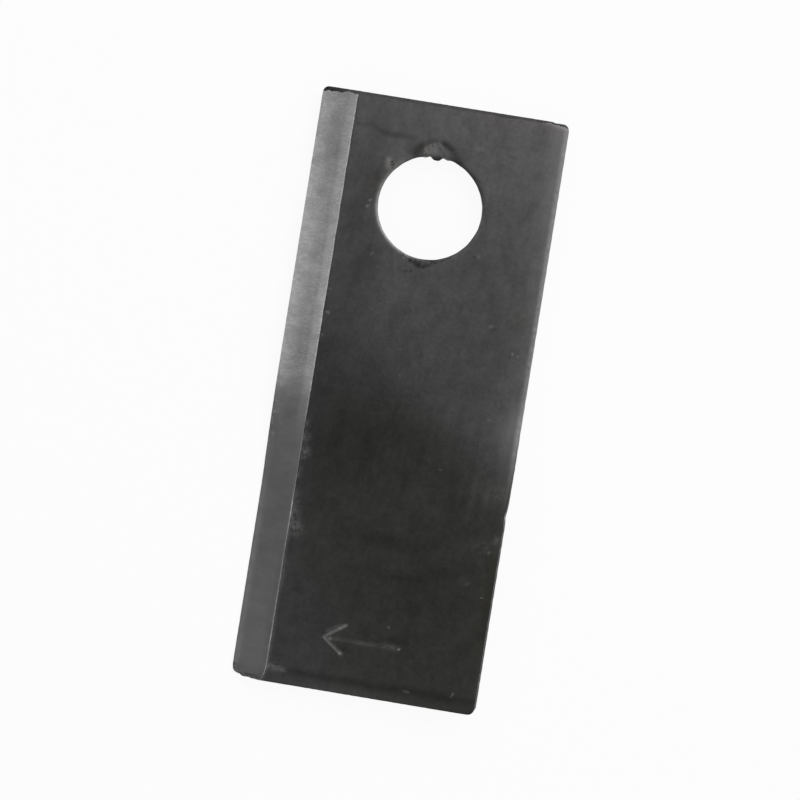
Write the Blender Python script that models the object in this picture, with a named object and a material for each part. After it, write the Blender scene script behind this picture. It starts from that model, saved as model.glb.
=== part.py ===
"""Rotary mower blade: flat bar with a ground cutting bevel, a punched pin hole and a twisted outer half.

One cross-section is carried along the blank, a Boolean punches the pin hole, and a Simple Deform twists the
outer half. The finished blade is then rolled by half of its twist, which is how it lies on a floor: on the
cutting edge of the outer half and on the back edge of the flat half.

Axes of the blank: +X from the cutting edge to the back edge, +Y towards the holed end, +Z out of the upper
face. Its origin lies in the middle of the thickness, where the flat half ends and the twist begins.
"""

import math

import bmesh
import bpy
import numpy as np

MM = 0.001

# Blank
length = 120.0 * MM
width = 50.0 * MM
thickness = 4.0 * MM
corner_radius = 1.3 * MM  # the four corners, seen from above

# Cutting edge
bevel_width = 7.2 * MM
edge_land = 0.5 * MM  # blunt height left under the bevel

# Back edge: the rolled bar's gentle shoulder above, a small round below
shoulder_width = 5.0 * MM
shoulder_drop = 0.55 * MM
back_foot_radius = 0.5 * MM

# Sheared ends: one face is drawn down towards the cut, and the cut leans back towards the other face
roll_length = 4.0 * MM
roll_drop = 0.6 * MM
shear_lean = 0.6 * MM
lean_reach = 6.0 * MM  # how far in from an end the stations still follow the leaning cut

# Pin hole, punched from the upper face
hole_diameter = 21.0 * MM
hole_from_end = 21.2 * MM  # holed end to the hole's centre
hole_rim_radius = 0.6 * MM
hole_breakout = 0.25 * MM  # how much wider the hole's radius is at the underside

# Twist
seat_length = 59.5 * MM  # flat half, from the holed end to the start of the twist
twist_run = 20.5 * MM
twist_angle = math.radians(8.0)

# Facets
bevel_columns = 3
face_columns = 9
shoulder_steps = 7
foot_steps = 3
corner_steps = 5
roll_steps = 4
twist_steps = 12
hole_steps = 96
rim_steps = 4


def clear_scene():
    for obj in list(bpy.data.objects):
        bpy.data.objects.remove(obj, do_unlink=True)


def steel(name, color, roughness, metallic):
    material = bpy.data.materials.new(name)
    material.use_nodes = True
    shader = material.node_tree.nodes["Principled BSDF"]
    shader.inputs["Base Color"].default_value = (*color, 1.0)
    shader.inputs["Roughness"].default_value = roughness
    shader.inputs["Metallic"].default_value = metallic
    return material


def sheared_roll(from_end):
    """Depth of a sheared end's rolled face: a quarter ellipse that meets the flat face roll_length in."""
    inside = np.clip(1.0 - from_end / roll_length, 0.0, 1.0)
    return roll_drop * (1.0 - math.sqrt(1.0 - inside**2))


def corner_inset(from_end):
    """How far a long edge is drawn in by the quarter circle at a corner."""
    inside = np.clip(1.0 - from_end / corner_radius, 0.0, 1.0)
    return corner_radius * (1.0 - math.sqrt(1.0 - inside**2))


def end_stations():
    """Distances from an end at which the corner's arc and then the rolled face are sampled."""
    turn = np.linspace(0.0, math.pi / 2, corner_steps + 1)
    corner = corner_radius * (1.0 - np.cos(turn))
    reach = max(roll_length, lean_reach, corner_radius * 1.5)
    return np.concatenate([corner, np.linspace(corner_radius, reach, roll_steps + 1)[1:]])


def stations():
    """Places along the length, from the outer end to the holed end."""
    outer_end = seat_length - length
    ends = end_stations()
    twist = np.linspace(-twist_run, 0.0, twist_steps + 1)
    every = np.concatenate([outer_end + ends, twist, seat_length - ends])
    inside = every[(every >= outer_end) & (every <= seat_length)]
    return np.unique(np.round(inside, 7))


def section(along):
    """Closed ring of the cross-section at one station, as rows of x, y, z, with the count of bevel points."""
    from_outer = along - (seat_length - length)
    from_holed = seat_length - along
    inset = corner_inset(min(from_outer, from_holed))
    left = inset - width / 2
    right = width / 2 - inset
    upper = thickness / 2 - sheared_roll(from_outer)
    lift = sheared_roll(from_holed)

    slope = (thickness - edge_land) / bevel_width
    land_top = edge_land - thickness / 2
    crease = (upper - land_top) / slope - width / 2
    bevel_x = np.linspace(left, crease, bevel_columns + 1)
    bevel_z = land_top + slope * (bevel_x + width / 2)
    face_x = np.linspace(crease, right - shoulder_width, face_columns + 1)[1:]
    face_z = np.full(face_columns, upper)
    turn = np.linspace(0.0, math.pi / 2, shoulder_steps + 1)[1:]
    shoulder_x = right - shoulder_width * (1.0 - np.sin(turn))
    shoulder_z = upper - shoulder_drop * (1.0 - np.cos(turn))
    turn = np.linspace(0.0, math.pi / 2, foot_steps + 1)
    foot_x = right - back_foot_radius * (1.0 - np.cos(turn))
    foot_z = lift - thickness / 2 + back_foot_radius * (1.0 - np.sin(turn))
    under_x = np.linspace(foot_x[-1], left, face_columns + bevel_columns + 1)[1:]
    metal = np.minimum(thickness, edge_land + slope * (under_x + width / 2))
    under_z = lift * metal / thickness - thickness / 2

    x = np.concatenate([bevel_x, face_x, shoulder_x, foot_x, under_x])
    z = np.concatenate([bevel_z, face_z, shoulder_z, foot_z, under_z])
    up = z / thickness + 0.5
    near_holed = max(0.0, 1.0 - from_holed / lean_reach)
    near_outer = max(0.0, 1.0 - from_outer / lean_reach)
    y = along - shear_lean * near_holed * up + shear_lean * near_outer * (1.0 - up)
    return np.stack([x, y, z], axis=1)


def loft(rings, first_material_faces):
    """Mesh of rings joined side by side and capped; faces past the first few of each band take slot 0."""
    mesh = bpy.data.meshes.new("mower_blade")
    bm = bmesh.new()
    rows = [[bm.verts.new(point) for point in ring] for ring in rings]
    count = len(rows[0])
    for near, far in zip(rows, rows[1:]):
        for i in range(count):
            j = (i + 1) % count
            face = bm.faces.new((near[i], near[j], far[j], far[i]))
            face.material_index = 1 if i < first_material_faces else 0
    bm.faces.new(rows[0][::-1])
    bm.faces.new(rows[-1])
    bmesh.ops.recalc_face_normals(bm, faces=bm.faces)
    bm.to_mesh(mesh)
    bm.free()
    return mesh


def hole_punch():
    """Solid of revolution that cuts the pin hole: flared and round at the rim, wider where it breaks out."""
    radius = hole_diameter / 2
    top = thickness / 2
    spare = thickness / 4
    turn = np.linspace(0.0, math.pi / 2, rim_steps + 1)
    profile = [(radius + hole_rim_radius, top + spare)]
    profile += [
        (radius + hole_rim_radius * (1 - math.sin(t)), top - hole_rim_radius * (1 - math.cos(t))) for t in turn
    ]
    profile += [(radius, 0.0), (radius + hole_breakout, -top), (radius + hole_breakout, -top - spare)]
    mesh = bpy.data.meshes.new("hole_punch")
    bm = bmesh.new()
    verts = [bm.verts.new((r, 0.0, z)) for r, z in profile]
    edges = [bm.edges.new(pair) for pair in zip(verts, verts[1:])]
    bmesh.ops.spin(
        bm, geom=verts + edges, axis=(0, 0, 1), cent=(0, 0, 0), angle=math.tau, steps=hole_steps, use_merge=True
    )
    bmesh.ops.remove_doubles(bm, verts=bm.verts, dist=1e-7)
    bmesh.ops.holes_fill(bm, edges=[edge for edge in bm.edges if edge.is_boundary])
    bmesh.ops.recalc_face_normals(bm, faces=bm.faces)
    bm.to_mesh(mesh)
    bm.free()
    punch = bpy.data.objects.new("hole_punch", mesh)
    bpy.context.collection.objects.link(punch)
    punch.hide_render = True
    punch.hide_viewport = True
    return punch


def make_blade():
    rings = [section(along) for along in stations()]
    blade = bpy.data.objects.new("mower_blade", loft(rings, bevel_columns))
    bpy.context.collection.objects.link(blade)
    blade.data.materials.append(steel("hardened_steel", (0.085, 0.085, 0.082), 0.42, 0.9))
    blade.data.materials.append(steel("ground_steel", (0.32, 0.32, 0.31), 0.38, 1.0))
    return blade


def punch_hole(blade):
    punch = hole_punch()
    punch.parent = blade
    punch.location = (0.0, seat_length - hole_from_end, 0.0)
    cut = blade.modifiers.new("pin_hole", "BOOLEAN")
    cut.operation = "DIFFERENCE"
    cut.solver = "EXACT"
    cut.object = punch


def twist_outer_half(blade):
    """Turns all that lies beyond the twist about the blade's long axis, with the back edge going up."""
    outer_end = seat_length - length
    twist = blade.modifiers.new("twist", "SIMPLE_DEFORM")
    twist.deform_method = "TWIST"
    twist.deform_axis = "Y"
    twist.angle = twist_angle
    twist.limits = ((-twist_run - outer_end) / length, -outer_end / length)


def lay_on_floor(blade):
    """Rolls the blade by half its twist, and sets the middle of its box over the origin and its foot on z = 0."""
    blade.rotation_euler = (0.0, twist_angle / 2, 0.0)
    bpy.context.view_layer.update()
    shaped = blade.evaluated_get(bpy.context.evaluated_depsgraph_get())
    points = np.array([shaped.matrix_world @ vertex.co for vertex in shaped.data.vertices])
    low = points.min(axis=0)
    high = points.max(axis=0)
    blade.location = (-(low[0] + high[0]) / 2, -(low[1] + high[1]) / 2, -low[2])


def main():
    clear_scene()
    blade = make_blade()
    punch_hole(blade)
    twist_outer_half(blade)
    lay_on_floor(blade)
    bpy.context.view_layer.update()


main()
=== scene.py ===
"""Looks of the rotary mower blade: its hardened faces, ground bevel, sheared ends and stamped arrow.

The blade is one closed skin that stands for the solid. It is worked out on the flat blank, in millimetres
from the blank's middle: x towards the back edge, y towards the holed end, z up from the middle of the
thickness. Then it is twisted and rolled as the blade lies. Every vertex keeps its place on the blank in the
attribute "blank", so that each finish follows the metal through the twist.
"""

import math

import bpy
import numpy as np
from mathutils import Matrix, Vector

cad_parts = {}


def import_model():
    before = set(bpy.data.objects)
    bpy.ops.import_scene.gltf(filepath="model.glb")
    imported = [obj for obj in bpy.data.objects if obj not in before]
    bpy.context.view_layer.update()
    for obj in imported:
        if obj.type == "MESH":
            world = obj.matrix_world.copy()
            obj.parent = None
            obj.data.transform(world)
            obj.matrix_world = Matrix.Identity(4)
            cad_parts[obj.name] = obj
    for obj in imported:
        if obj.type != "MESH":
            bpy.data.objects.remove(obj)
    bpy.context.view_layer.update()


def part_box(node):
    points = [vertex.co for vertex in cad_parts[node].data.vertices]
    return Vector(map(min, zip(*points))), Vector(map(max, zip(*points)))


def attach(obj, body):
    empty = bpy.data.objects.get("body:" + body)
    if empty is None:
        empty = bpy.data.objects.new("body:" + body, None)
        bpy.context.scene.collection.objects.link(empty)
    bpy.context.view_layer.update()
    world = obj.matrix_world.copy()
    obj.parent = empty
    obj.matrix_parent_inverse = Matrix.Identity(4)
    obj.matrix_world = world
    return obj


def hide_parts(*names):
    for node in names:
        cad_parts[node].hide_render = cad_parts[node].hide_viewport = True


MM = 0.001

# The blank and its twist
LENGTH = 120.0
WIDTH = 50.0
THICKNESS = 4.0
BEVEL_WIDTH = 7.2
EDGE_LAND = 0.5
CORNER_RADIUS = 1.3
SHOULDER_WIDTH = 5.0
SHOULDER_DROP = 0.55
FOOT_RADIUS = 0.5
ROLL_LENGTH = 4.0
ROLL_DROP = 0.6
SHEAR_LEAN = 0.6
LEAN_REACH = 6.0
HOLE_RADIUS = 10.37
HOLE_X = -0.06
HOLE_Y = 38.8
RIM_WIDTH = 0.55
RIM_DROP = 0.17
BREAKOUT = 0.25
HOLE_SQUARE = 15.0  # half side of the square round the hole in which the skin's lattice turns into rings
TWIST_START = 0.5
TWIST_RUN = 20.5
TWIST_EASE = 3.5
TWIST = math.radians(8.0)
TOP = THICKNESS / 2
LEFT = -WIDTH / 2
RIGHT = WIDTH / 2
OUTER_END = -LENGTH / 2
HOLED_END = LENGTH / 2
CREASE = LEFT + BEVEL_WIDTH
BEVEL_SLOPE = (THICKNESS - EDGE_LAND) / BEVEL_WIDTH

# Stamped arrow: head, barb ends, notch and tail
ARROW_TIP = (-7.15, -49.1)
ARROW_BARBS = ((-3.1, -46.2), (-3.3, -51.9))
ARROW_NOTCH = (-5.6, -49.1)
ARROW_TAIL = (8.2, -49.15)
SECOND_STROKE = ((-6.7, -47.9), (-5.2, -46.9), (-4.1, -46.4))
ARROW_GLINTS = (
    (-6.0, -49.35, 0.45, 0.28, 0.55),
    (-4.3, -46.9, 0.7, 0.4, 0.12),
    (-5.1, -47.65, 0.3, 0.2, 0.2),
    (-3.9, -46.95, 0.3, 0.2, 0.2),
    (-3.4, -51.9, 0.4, 0.35, 0.35),
    (-3.5, -46.3, 0.4, 0.3, 0.2),
    (6.4, -48.75, 1.5, 0.5, 0.1),
)
ARROW_COLUMNS = (-9.0, 9.0)
ARROW_ROWS = (-53.6, -44.6)
BARB_HALF = 0.36
BARB_DEPTH = 0.13
SHAFT_HALF = 0.42
SHAFT_DEPTH = 0.08

# Marks round the punched hole, with painted shade round the tear and in the dent: the burr's angle in
# degrees, then paths and outlines, and dots as soft patches
BURR_ANGLE = 91.5
TEAR = ((-3.2, 48.4), (-3.05, 50.7), (-1.9, 51.6), (-0.3, 52.2), (1.5, 50.7), (2.9, 48.6))
TEAR_SHADE_LEFT = ((-4.6, 49.3), (-4.1, 50.2), (-3.6, 50.8))
TEAR_SHADE_TOP = ((-3.4, 51.1), (-2.2, 51.8), (-0.9, 52.2))
TEAR_SHADE_RIGHT = ((0.7, 52.0), (1.6, 51.6), (2.5, 51.0))
TEAR_SHADE_FOOT = ((2.5, 51.0), (3.3, 50.0), (4.3, 48.8))
DENT = ((-2.9, 29.3), (3.6, 29.3), (1.8, 27.0), (0.4, 26.3), (-0.6, 26.3), (-2.9, 27.4))
DENT_DARK = ((-2.5, 27.9, 0.45, 0.5, 0.3), (-0.6, 27.3, 0.4, 0.7, 0.3), (0.7, 27.0, 0.8, 0.3, 0.15))
DENT_LIGHT = ((0.3, 27.75, 0.4, 0.4, 0.6), (1.4, 27.95, 0.4, 0.35, 0.5))
SWELLING = ((-9.9, 46.8), (-10.0, 46.1), (-9.9, 45.6))
STAIN = (
    (-17.4, 53.0),
    (-15.9, 53.3),
    (-14.0, 53.4),
    (-12.2, 52.5),
    (-10.0, 52.1),
    (-7.5, 52.1),
    (-5.0, 52.3),
)

# Studio: a plain room, with glows given by where from, strength and half spread in degrees, and one soft lamp
STUDIO_ROOM = 0.3
STUDIO_GLOWS = (
    ((0.62, 0.3, 0.72), 1.6, 30.0),
    ((-0.66, 0.0, 0.75), 1.15, 13.0),
    ((-0.1, -0.62, 0.78), 0.5, 22.0),
    ((-0.95, 0.0, 0.31), -0.26, 24.0),
)
LAMP_PLACE = (0.22, 0.28, 0.5)
LAMP_SIZE = 0.3
LAMP_POWER = 1.2
FLOOR_SIDE = 6.0
FLOOR_WHITE = 0.93  # how far the floor is seen as plain white; the rest is matt white, with the shadow

# Camera
CAMERA_DISTANCE = 1.2
CAMERA_LEAN = math.radians(9.12)
FRAME_WIDTH = 0.16013
FRAME_ASIDE = 0.00012

# Finishes, in the order of the skin's material slots, and their colors
HARDENED, GROUND, SHEARED = range(3)
SHARP_ANGLE = math.radians(38.0)
# The hardened colors run from palest by the hole to darkest in the wing: a painted gradient of light and
# shade.
HARDENED_BY_HOLE = (0.0775, 0.077, 0.077)
HARDENED_MIDDLE = (0.059, 0.059, 0.059)
HARDENED_WING = (0.0452, 0.0452, 0.0452)
# Bare metal, also used for painted highlights.
BARE_AND_HIGHLIGHT = (0.26, 0.256, 0.252)
TORN_LEFT = (0.262, 0.256, 0.232)
TORN_RIGHT = (0.268, 0.25, 0.25)
# Dark grime, also used for painted shade and for dark marks.
GRIME_AND_SHADE = (0.012, 0.012, 0.0115)
GROUND_BRIGHT = (0.37, 0.37, 0.37)
GROUND_DULL = (0.24, 0.24, 0.24)
# Worn crease with a painted highlight, and the nicked cutting edge.
GROUND_WORN_AND_HIGHLIGHT = (0.75, 0.75, 0.74)
BREAK_DARK = (0.01, 0.01, 0.0095)
BREAK_PALE = (0.024, 0.0235, 0.0225)
BREAK_SPECK = (0.14, 0.138, 0.135)

# Rubbed patches: middle, half sizes and strength
RUBBED = (
    (-17.5, -7.6, 0.6, 0.8, 0.3),
    (-17.2, -10.6, 0.7, 1.2, 0.42),
    (-17.0, -13.5, 1.0, 1.2, 0.46),
    (-17.5, -17.7, 0.5, 1.3, 0.36),
    (-17.3, -22.6, 0.9, 1.8, 0.26),
    (-17.1, -25.4, 1.1, 1.0, 0.32),
    (-16.8, -28.4, 1.6, 1.7, 0.46),
    (-17.3, -38.0, 0.6, 2.6, 0.2),
    (-16.5, -56.8, 1.3, 0.65, 0.66),
    (-14.3, -57.1, 0.5, 0.4, 0.4),
    (22.2, -15.5, 2.4, 2.4, 0.075),
    (24.0, -24.4, 0.9, 1.0, 0.16),
    (21.4, -26.0, 2.2, 1.3, 0.12),
)

# Stretches of the crease with more or less wear and painted highlight than the rest: middle, half length and
# share
CREASE_WEAR_AND_HIGHLIGHT = (
    (-14.0, 7.0, -0.3),
    (-25.0, 4.5, 0.3),
    (-35.4, 1.5, 0.2),
    (-42.0, 3.0, 0.1),
)

# Tone of the upper face, random and partly painted light and shade, as soft patches: middle, half sizes and
# share lighter or darker
FACE_TONE_AND_SHADING = (
    (-17.0, 6.0, 6.0, 11.0, -0.25),
    (-7.0, 2.0, 9.0, 9.0, -0.32),
    (5.0, -6.0, 9.0, 9.0, -0.23),
    (12.0, -13.0, 8.0, 8.0, -0.08),
    (-8.0, -12.0, 8.0, 8.0, -0.2),
    (-14.0, 34.0, 6.0, 17.0, -0.22),
    (14.0, 26.0, 8.0, 14.0, -0.1),
    (22.0, 4.0, 5.0, 9.0, 0.14),
    (24.5, -14.0, 3.0, 7.0, -0.32),
    (25.0, -38.0, 3.2, 20.0, -0.4),
    (25.0, -36.0, 1.2, 22.0, -0.28),
    (-6.0, -59.4, 14.0, 1.0, 0.15),
    (1.0, -59.3, 13.0, 1.0, 0.2),
    (-11.3, 43.6, 0.9, 1.4, -0.25),
    (-16.0, -50.0, 9.0, 14.0, 0.22),
    (-5.0, -58.0, 15.0, 4.0, 0.26),
    (12.0, -38.0, 10.0, 14.0, -0.12),
    (-13.0, 22.0, 3.5, 12.0, -0.08),
    (3.0, -6.5, 4.0, 4.0, -0.08),
    (-14.0, -35.0, 4.0, 6.0, 0.08),
    (14.0, 58.6, 9.0, 1.6, 0.1),
    (22.5, -7.0, 2.5, 4.0, 0.1),
    (23.0, -32.0, 2.5, 8.0, 0.14),
    (23.0, -46.0, 2.5, 8.0, 0.1),
    (0.0, -28.0, 10.0, 1.8, -0.15),
    (3.0, -28.2, 8.0, 0.9, -0.1),
    (5.0, -34.9, 9.0, 0.9, -0.2),
    (14.2, -33.0, 4.0, 1.5, -0.12),
    (13.8, -15.2, 1.5, 3.8, -0.2),
    (17.8, -16.8, 0.7, 2.7, 0.28),
    (20.3, -16.8, 0.6, 2.4, 0.18),
    (7.5, -47.6, 2.6, 0.8, -0.25),
    (-10.0, 26.5, 2.0, 4.0, -0.15),
    (5.0, 50.2, 1.5, 1.5, -0.16),
    (-8.5, -52.0, 3.5, 2.5, 0.2),
    (-4.9, -52.0, 1.4, 1.0, 0.2),
    (-12.7, 42.0, 1.6, 3.5, -0.2),
)

# Tone of the ground bevel, random and partly painted light and shade, described in the same way
BEVEL_TONE_AND_SHADING = (
    (-25.0, 30.0, 1.6, 40.0, 0.2),
    (-21.0, -7.0, 6.0, 8.0, -0.26),
    (-20.5, 7.0, 3.0, 7.0, -0.09),
    (-25.0, -8.0, 1.2, 10.0, -0.24),
    (-20.5, 50.0, 3.0, 8.0, -0.15),
    (-24.6, -36.0, 0.7, 24.0, 0.4),
    (-21.3, -54.0, 3.5, 18.0, 0.16),
    (-19.5, 54.0, 1.2, 3.0, 0.13),
    (-19.9, 47.5, 1.0, 3.0, -0.12),
    (-23.2, 34.0, 2.0, 5.0, 0.1),
    (-19.5, 35.5, 0.8, 3.0, -0.12),
    (-18.8, 25.0, 1.0, 3.5, 0.12),
    (-21.0, 9.5, 2.2, 5.0, -0.14),
    (-22.5, -2.0, 2.5, 5.0, -0.08),
    (-20.0, -58.8, 5.0, 1.8, -0.2),
    (-18.2, -48.0, 0.9, 14.0, -0.12),
    (-24.6, -55.0, 0.8, 4.0, 0.14),
    (-18.1, 15.0, 0.6, 4.0, 0.16),
    (-18.1, 50.0, 0.7, 5.0, 0.12),
)

# Small bright marks on the upper face: middle, half length, half width, angle in degrees and strength
BRIGHT_MARKS = (
    (-12.2, 38.5, 0.5, 0.35, 20, 0.3),
    (-12.5, 37.2, 0.6, 0.35, 40, 0.26),
    (-10.0, 28.1, 0.7, 0.4, 50, 0.1),
    (11.1, 30.7, 0.9, 0.6, 130, 0.13),
    (-3.6, 28.2, 0.35, 0.25, 0, 0.2),
    (20.8, 12.6, 0.4, 0.25, 100, 0.28),
    (22.0, 12.3, 0.35, 0.25, 100, 0.15),
    (15.8, 17.3, 0.7, 0.4, 20, 0.14),
    (-16.9, 15.0, 0.5, 0.4, 0, 0.3),
    (-17.2, 19.8, 0.45, 0.35, 0, 0.16),
    (-17.3, 10.4, 0.5, 0.35, 0, 0.14),
    (-0.7, 5.0, 0.4, 0.35, 0, 0.1),
    (-1.4, 10.0, 0.6, 0.3, 0, 0.06),
    (10.6, -12.4, 0.7, 0.3, 10, 0.12),
    (18.4, -1.2, 0.7, 0.3, -15, 0.12),
    (7.8, 52.0, 1.2, 0.9, 30, 0.08),
    (5.4, -45.2, 0.4, 0.35, 0, 0.28),
    (10.9, -57.3, 0.8, 0.35, -10, 0.24),
    (20.2, -56.4, 0.7, 0.3, 65, 0.3),
    (22.9, -27.3, 0.5, 0.45, 60, 0.22),
    (24.0, -24.3, 0.6, 0.4, 30, 0.16),
    (22.8, -36.4, 0.6, 0.18, 5, 0.3),
    (19.6, -34.1, 0.8, 0.4, 30, 0.14),
    (18.5, -33.4, 1.3, 1.0, 60, 0.05),
)

# Faint brown stains, described in the same way
BROWN_STAINS = (
    (-12.3, 42.0, 1.9, 1.7, 0, 1.0),
    (-4.1, 50.1, 1.3, 1.1, 60, 1.0),
    (21.3, 20.0, 3.0, 1.4, 90, 0.6),
    (6.0, -6.2, 2.2, 1.4, 0, 0.5),
    (23.6, -37.0, 20.0, 1.6, 90, 0.8),
)

# Small dark marks on the upper face, described in the same way
DARK_MARKS = (
    (-9.0, 46.8, 0.4, 0.25, 20, 0.9),
    (-8.8, 46.2, 0.55, 0.22, 20, 0.75),
    (-8.6, 45.6, 0.3, 0.5, 0, 0.4),
    (-1.4, 51.1, 0.35, 0.2, 80, 0.6),
    (-0.5, 51.6, 0.3, 0.15, 80, 0.35),
    (-2.7, 49.8, 0.5, 0.8, 0, 0.3),
    (2.8, 28.2, 0.8, 0.28, 22, 0.6),
    (4.0, 28.7, 0.85, 0.25, 25, 0.6),
    (5.3, 29.4, 0.75, 0.22, 12, 0.5),
    (-4.0, 28.85, 0.8, 0.25, -33, 0.5),
    (-2.8, 25.6, 0.45, 0.3, 20, 0.45),
    (-1.9, 25.8, 0.45, 0.4, -20, 0.4),
    (10.3, 30.5, 0.5, 0.35, 0, 0.25),
    (16.3, 16.7, 0.7, 0.35, 30, 0.25),
    (-17.1, -26.0, 0.6, 0.25, -60, 0.5),
    (-16.6, -26.7, 0.5, 0.25, -50, 0.4),
    (8.8, 45.7, 0.7, 0.2, -45, 0.3),
    (-2.9, -51.1, 0.5, 0.3, 70, 0.55),
    (14.5, 51.4, 1.4, 0.5, -10, 0.18),
    (18.7, 53.6, 1.2, 0.8, 0, 0.12),
    (20.3, 2.0, 1.2, 0.4, -75, 0.15),
    (17.3, 5.0, 1.0, 0.4, -60, 0.12),
    (-15.9, -56.2, 0.9, 0.35, 0, 0.4),
    (-16.6, -9.0, 0.5, 0.2, 75, 0.5),
    (-16.7, -10.5, 0.35, 0.2, 0, 0.4),
    (-17.4, 54.4, 0.7, 0.25, -75, 0.4),
    (-16.9, 53.3, 0.6, 0.2, -75, 0.25),
    (-17.5, 45.2, 0.5, 0.2, -75, 0.3),
)


def smooth(t):
    """0 below 0, 1 above 1, and the cubic 3 t^2 - 2 t^3 between."""
    t = np.clip(t, 0.0, 1.0)
    return t * t * (3.0 - 2.0 * t)


def bell(offset, half, power=2):
    """Bell curve: 1 where the offset is 0, and 0.37 at the half width. A power of 4 flattens its top."""
    return np.exp(-((offset / half) ** power))


def bump_noise(x, y, scale, seed):
    """Soft irregular waves from -1 to 1: the mean of sines that run in scattered directions."""
    rng = np.random.default_rng(seed)
    total = np.zeros(np.broadcast(x, y).shape)
    count = 7
    for angle, phase, stretch in zip(
        rng.uniform(0, math.pi, count), rng.uniform(0, math.tau, count), rng.uniform(0.6, 1.7, count)
    ):
        total += np.sin((x * math.cos(angle) + y * math.sin(angle)) * stretch * math.tau / scale + phase)
    return total / count * 1.6


def from_path(x, y, path):
    """Distance from each point to the nearest stretch of a path of straight pieces."""
    nearest = np.full(np.broadcast(x, y).shape, np.inf)
    for (ax, ay), (bx, by) in zip(path, path[1:]):
        dx, dy = bx - ax, by - ay
        share = np.clip(((x - ax) * dx + (y - ay) * dy) / (dx * dx + dy * dy), 0.0, 1.0)
        nearest = np.minimum(nearest, np.hypot(x - ax - share * dx, y - ay - share * dy))
    return nearest


def inside_outline(x, y, outline):
    """Signed depth inside a convex outline that runs clockwise: the least distance to its sides' lines."""
    depth = np.full(np.broadcast(x, y).shape, np.inf)
    for (ax, ay), (bx, by) in zip(outline, outline[1:] + outline[:1]):
        dx, dy = bx - ax, by - ay
        depth = np.minimum(depth, ((x - ax) * -dy + (y - ay) * dx) / -math.hypot(dx, dy))
    return depth


def blob(x, y, patch):
    """A soft round patch: the strength times a bell curve over its half sizes."""
    middle_x, middle_y, half_x, half_y, strength = patch
    return strength * np.exp(-(((x - middle_x) / half_x) ** 2) - ((y - middle_y) / half_y) ** 2)


# Lattice on the blank


def even(start, stop, pitch):
    """Places from start up to but not stop, about one pitch apart."""
    return np.linspace(start, stop, max(1, round((stop - start) / pitch)) + 1)[:-1]


def graded(start, stop, first, last):
    """Places from start up to but not stop, whose steps change evenly from first to last."""
    count = max(2, round(2 * abs(stop - start) / (first + last)))
    steps = np.linspace(first, last, count)
    return start + np.concatenate([[0.0], np.cumsum(steps)[:-1]]) * (stop - start) / steps.sum()


def columns():
    """Lattice lines across the blank: close at the cutting edge, the crease, the arrow and the back edge."""
    return np.concatenate(
        [
            graded(LEFT, LEFT + 1.0, 0.05, 0.35),
            even(LEFT + 1.0, CREASE - 0.8, 0.45),
            graded(CREASE - 0.8, CREASE, 0.3, 0.04),
            graded(CREASE, CREASE + 0.8, 0.04, 0.3),
            even(CREASE + 0.8, ARROW_COLUMNS[0], 0.6),
            even(*ARROW_COLUMNS, 0.22),
            even(ARROW_COLUMNS[1], RIGHT - SHOULDER_WIDTH, 0.7),
            graded(RIGHT - SHOULDER_WIDTH, RIGHT, 0.6, 0.03),
            [RIGHT],
        ]
    )


def rows():
    """Lattice lines along the blank: close at both ends, over the arrow and round the hole."""
    return np.concatenate(
        [
            graded(OUTER_END, OUTER_END + ROLL_LENGTH, 0.04, 0.5),
            even(OUTER_END + ROLL_LENGTH, ARROW_ROWS[0], 0.5),
            even(*ARROW_ROWS, 0.22),
            even(ARROW_ROWS[1], HOLE_Y - HOLE_SQUARE, 0.8),
            even(HOLE_Y - HOLE_SQUARE, HOLE_Y + HOLE_SQUARE, 0.5),
            even(HOLE_Y + HOLE_SQUARE, HOLED_END - 3.0, 0.5),
            graded(HOLED_END - 3.0, HOLED_END, 0.4, 0.04),
            [HOLED_END],
        ]
    )


def corner_inset(from_end):
    """How far a long edge is drawn in by the quarter circle at a corner."""
    inside = np.clip(1.0 - from_end / CORNER_RADIUS, 0.0, 1.0)
    return CORNER_RADIUS * (1.0 - np.sqrt(1.0 - inside**2))


def end_roll(from_end):
    """Depth of a sheared end's rolled face: a quarter ellipse that meets the flat face ROLL_LENGTH in."""
    inside = np.clip(1.0 - from_end / ROLL_LENGTH, 0.0, 1.0)
    return ROLL_DROP * (1.0 - np.sqrt(1.0 - inside**2))


def crease_line(y):
    """Where the bevel meets the upper face: bent out over the rolled end, with a slight grinding waver."""
    waver = 0.05 * bump_noise(y, 0.0, 9.0, 3) + 0.035 * bump_noise(y, 0.0, 1.7, 4)
    return CREASE - end_roll(y - OUTER_END) / BEVEL_SLOPE + waver


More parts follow.
